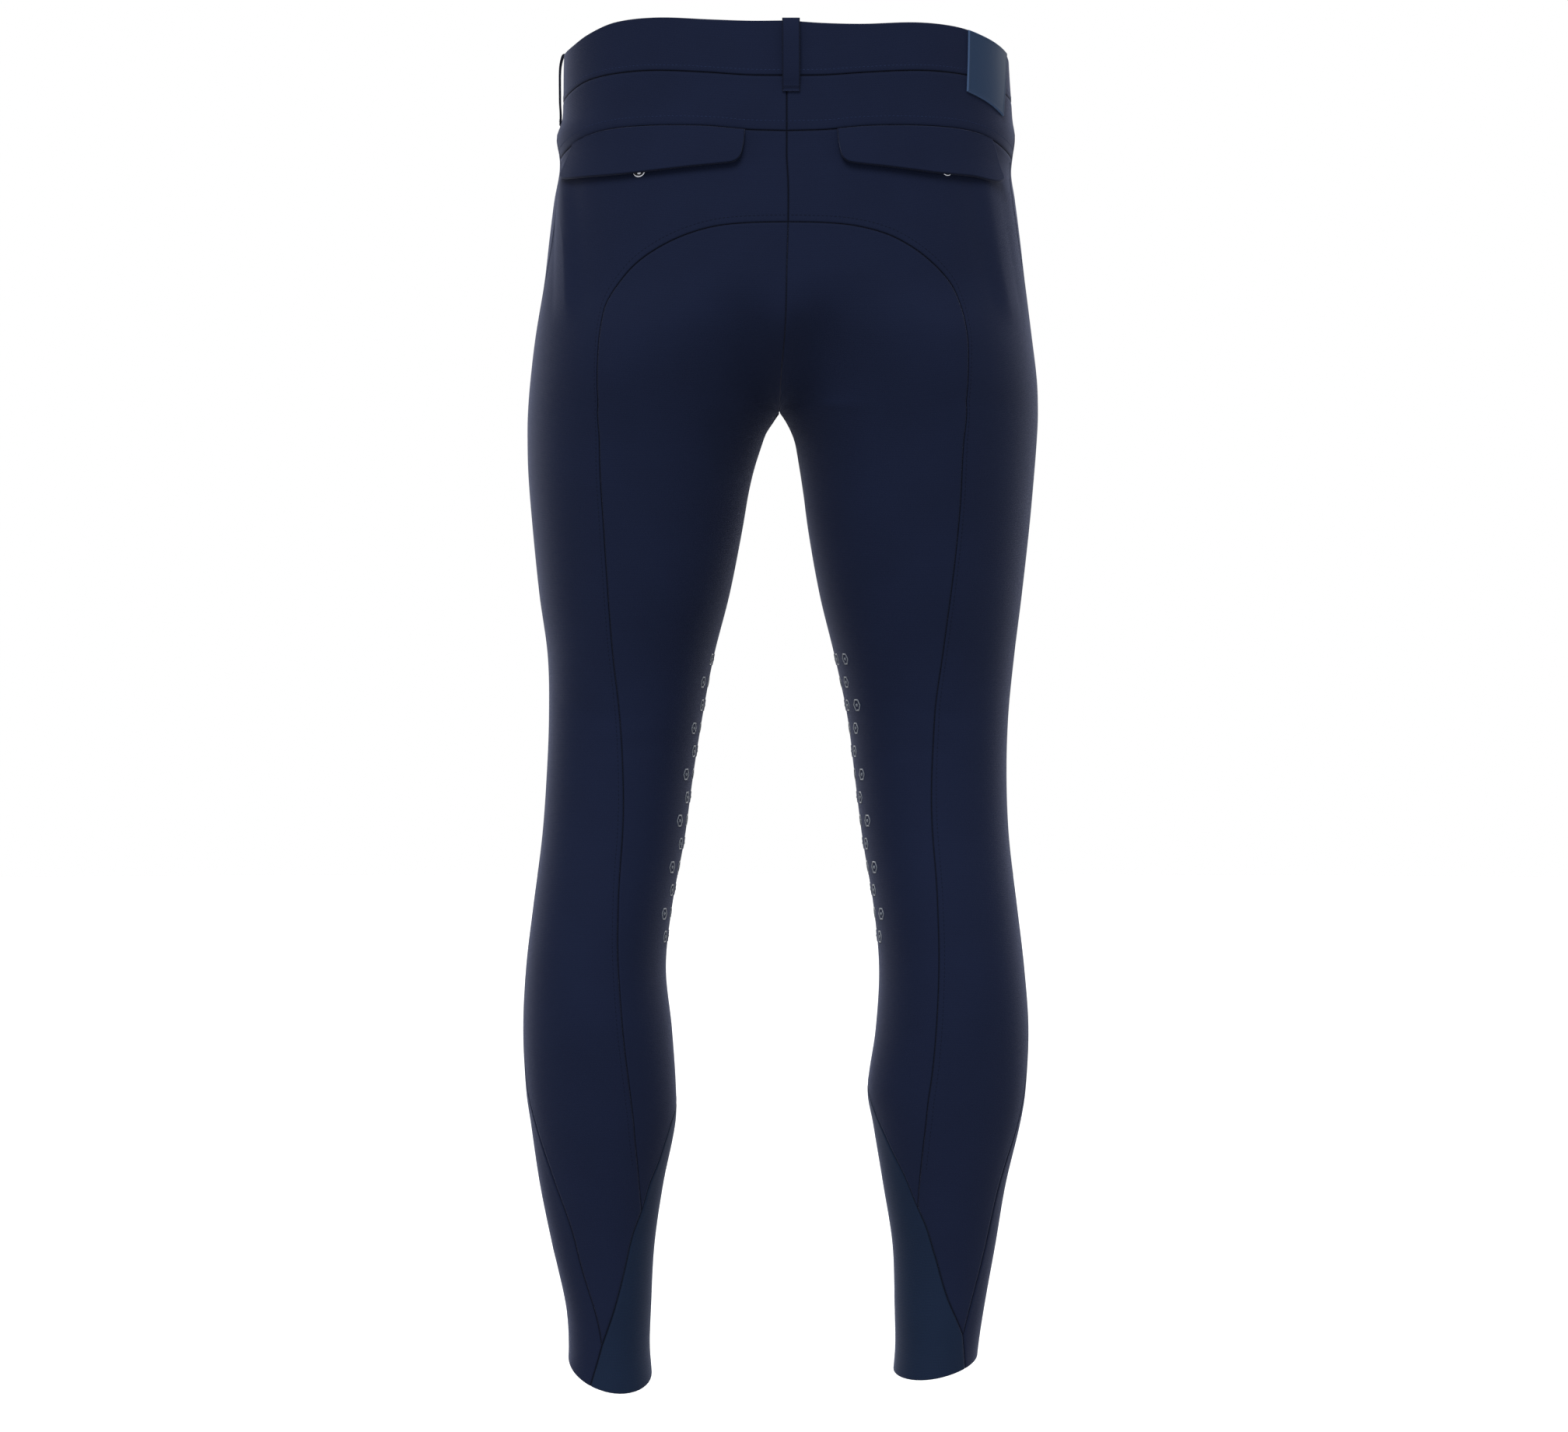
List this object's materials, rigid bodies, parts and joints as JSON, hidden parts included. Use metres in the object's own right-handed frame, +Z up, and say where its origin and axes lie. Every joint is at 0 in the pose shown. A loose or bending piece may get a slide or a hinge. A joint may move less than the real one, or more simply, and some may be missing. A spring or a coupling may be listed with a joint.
{
  "type": "riding breeches",
  "caption": "Full-seat riding breeches filled out as worn: looped waistband, back yoke, flapped back pockets, seat panels running down the inner legs, and knit calf inserts.",
  "frame": {"origin": "centre of the waist opening at the waistband's mid-height, where the wearer carries the breeches", "axes": "+Z up, +Y to the wearer's front, +X to the wearer's right"},
  "size_m": [0.3789, 0.2356, 0.9986],
  "materials": {
    "navy_twill": "matte bonded stretch twill",
    "teal_knit": "smooth stretch warp knit",
    "teal_patch": "matte moulded patch",
    "nickel_snap": "nickel-plated",
    "grip_silicone": "clear satin silicone print"
  },
  "bodies": {
    "root": {"waistband_left": "navy_twill", "back_yoke_left": "navy_twill", "back_panel_left": "navy_twill", "seat_panel_left": "navy_twill", "front_panel_left": "navy_twill", "pocket_flap_left": "navy_twill", "pocket_welt_left": "navy_twill", "calf_insert_left": "teal_knit", "pocket_snap_left": "nickel_snap", "waistband_right": "navy_twill", "back_yoke_right": "navy_twill", "back_panel_right": "navy_twill", "seat_panel_right": "navy_twill", "front_panel_right": "navy_twill", "pocket_flap_right": "navy_twill", "pocket_welt_right": "navy_twill", "calf_insert_right": "teal_knit", "pocket_snap_right": "nickel_snap", "belt_loop_back": "navy_twill", "belt_loop_side_left": "navy_twill", "belt_loop_side_right": "navy_twill", "belt_loop_front_left": "navy_twill", "belt_loop_front_right": "navy_twill", "fly_front": "navy_twill", "waist_tab": "navy_twill", "waist_patch": "teal_patch", "waist_button": "nickel_snap"}
  },
  "joints": []
}
